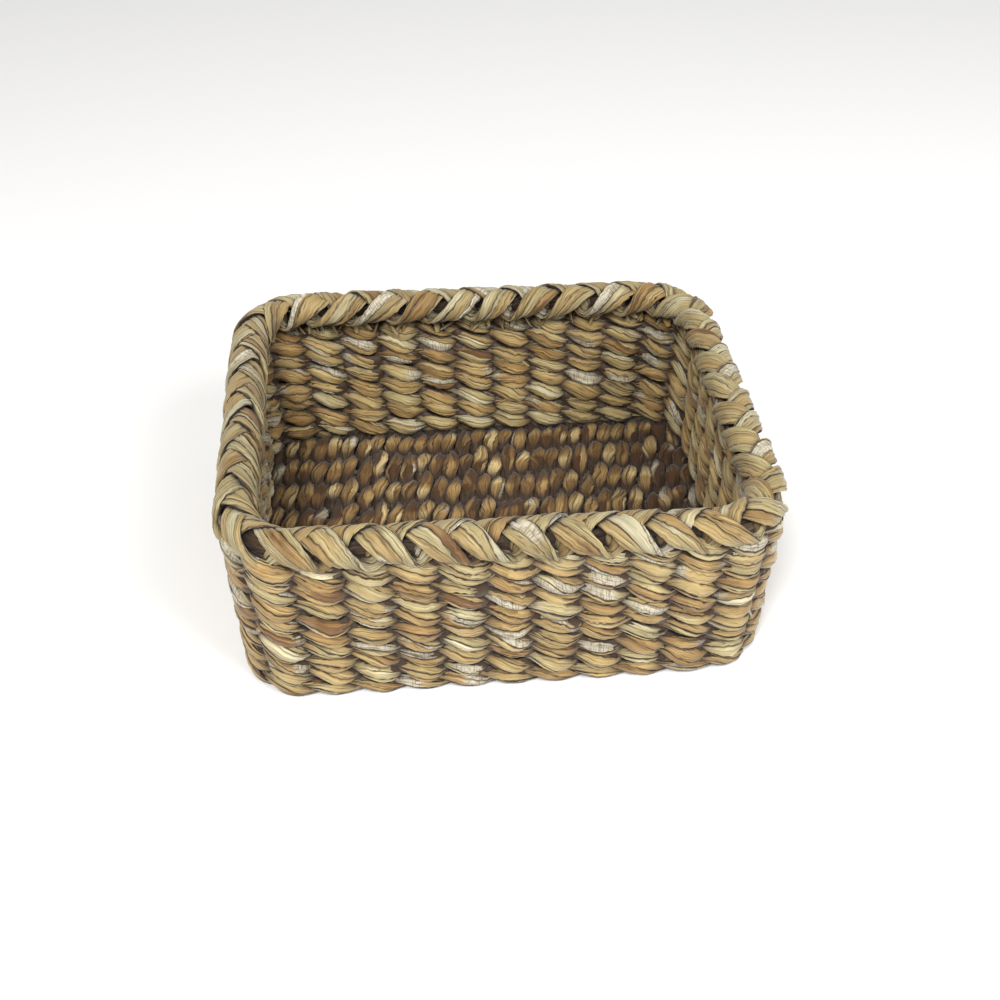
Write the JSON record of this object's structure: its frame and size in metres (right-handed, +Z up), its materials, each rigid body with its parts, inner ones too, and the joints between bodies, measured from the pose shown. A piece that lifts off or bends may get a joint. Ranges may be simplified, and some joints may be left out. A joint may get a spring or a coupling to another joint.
{
  "type": "storage basket",
  "caption": "Open rectangular seagrass basket, twined in courses round hidden stakes, with rounded corners, a flat woven base, slightly leaning walls and a thick plaited rim.",
  "frame": {"origin": "middle of the underside, on the surface the basket stands on", "axes": "+X along the long side, +Y from the front wall to the back wall, +Z up through the open top"},
  "size_m": [0.34, 0.28, 0.13],
  "materials": {
    "seagrass_tan": "dry satin leaf, tan to orange-tan strips",
    "seagrass_pale": "dry satin leaf, pale green-grey to off-white strips",
    "rim_plait": "dry satin leaf, broad folded strips",
    "base_weave": "dry satin leaf, browner strips",
    "stake_core": "matt rolled leaf core"
  },
  "bodies": {
    "root": {"base_weave_lower": "base_weave", "base_weave_upper": "base_weave", "cross_rod_1": "stake_core", "cross_rod_2": "stake_core", "cross_rod_3": "stake_core", "cross_rod_4": "stake_core", "cross_rod_5": "stake_core", "cross_rod_6": "stake_core", "cross_rod_7": "stake_core", "front_stake_1": "stake_core", "front_stake_2": "stake_core", "front_stake_3": "stake_core", "front_stake_4": "stake_core", "front_stake_5": "stake_core", "front_stake_6": "stake_core", "front_stake_7": "stake_core", "front_stake_8": "stake_core", "front_stake_9": "stake_core", "back_stake_1": "stake_core", "back_stake_2": "stake_core", "back_stake_3": "stake_core", "back_stake_4": "stake_core", "back_stake_5": "stake_core", "back_stake_6": "stake_core", "back_stake_7": "stake_core", "back_stake_8": "stake_core", "back_stake_9": "stake_core", "corner_stake_1": "stake_core", "corner_stake_2": "stake_core", "corner_stake_3": "stake_core", "corner_stake_4": "stake_core", "corner_stake_5": "stake_core", "corner_stake_6": "stake_core", "corner_stake_7": "stake_core", "corner_stake_8": "stake_core", "foot_rope_strand_a": "seagrass_tan", "foot_rope_strand_b": "seagrass_pale", "course_01_strand_a": "seagrass_tan", "course_01_strand_b": "seagrass_pale", "course_02_strand_a": "seagrass_pale", "course_02_strand_b": "seagrass_tan", "course_03_strand_a": "seagrass_tan", "course_03_strand_b": "seagrass_pale", "course_04_strand_a": "seagrass_pale", "course_04_strand_b": "seagrass_tan", "course_05_strand_a": "seagrass_tan", "course_05_strand_b": "seagrass_pale", "course_06_strand_a": "seagrass_pale", "course_06_strand_b": "seagrass_tan", "course_07_strand_a": "seagrass_tan", "course_07_strand_b": "seagrass_pale", "course_08_strand_a": "seagrass_pale", "course_08_strand_b": "seagrass_tan", "rim_plait_strand_1": "rim_plait", "rim_plait_strand_2": "rim_plait", "rim_plait_strand_3": "rim_plait"}
  },
  "joints": []
}
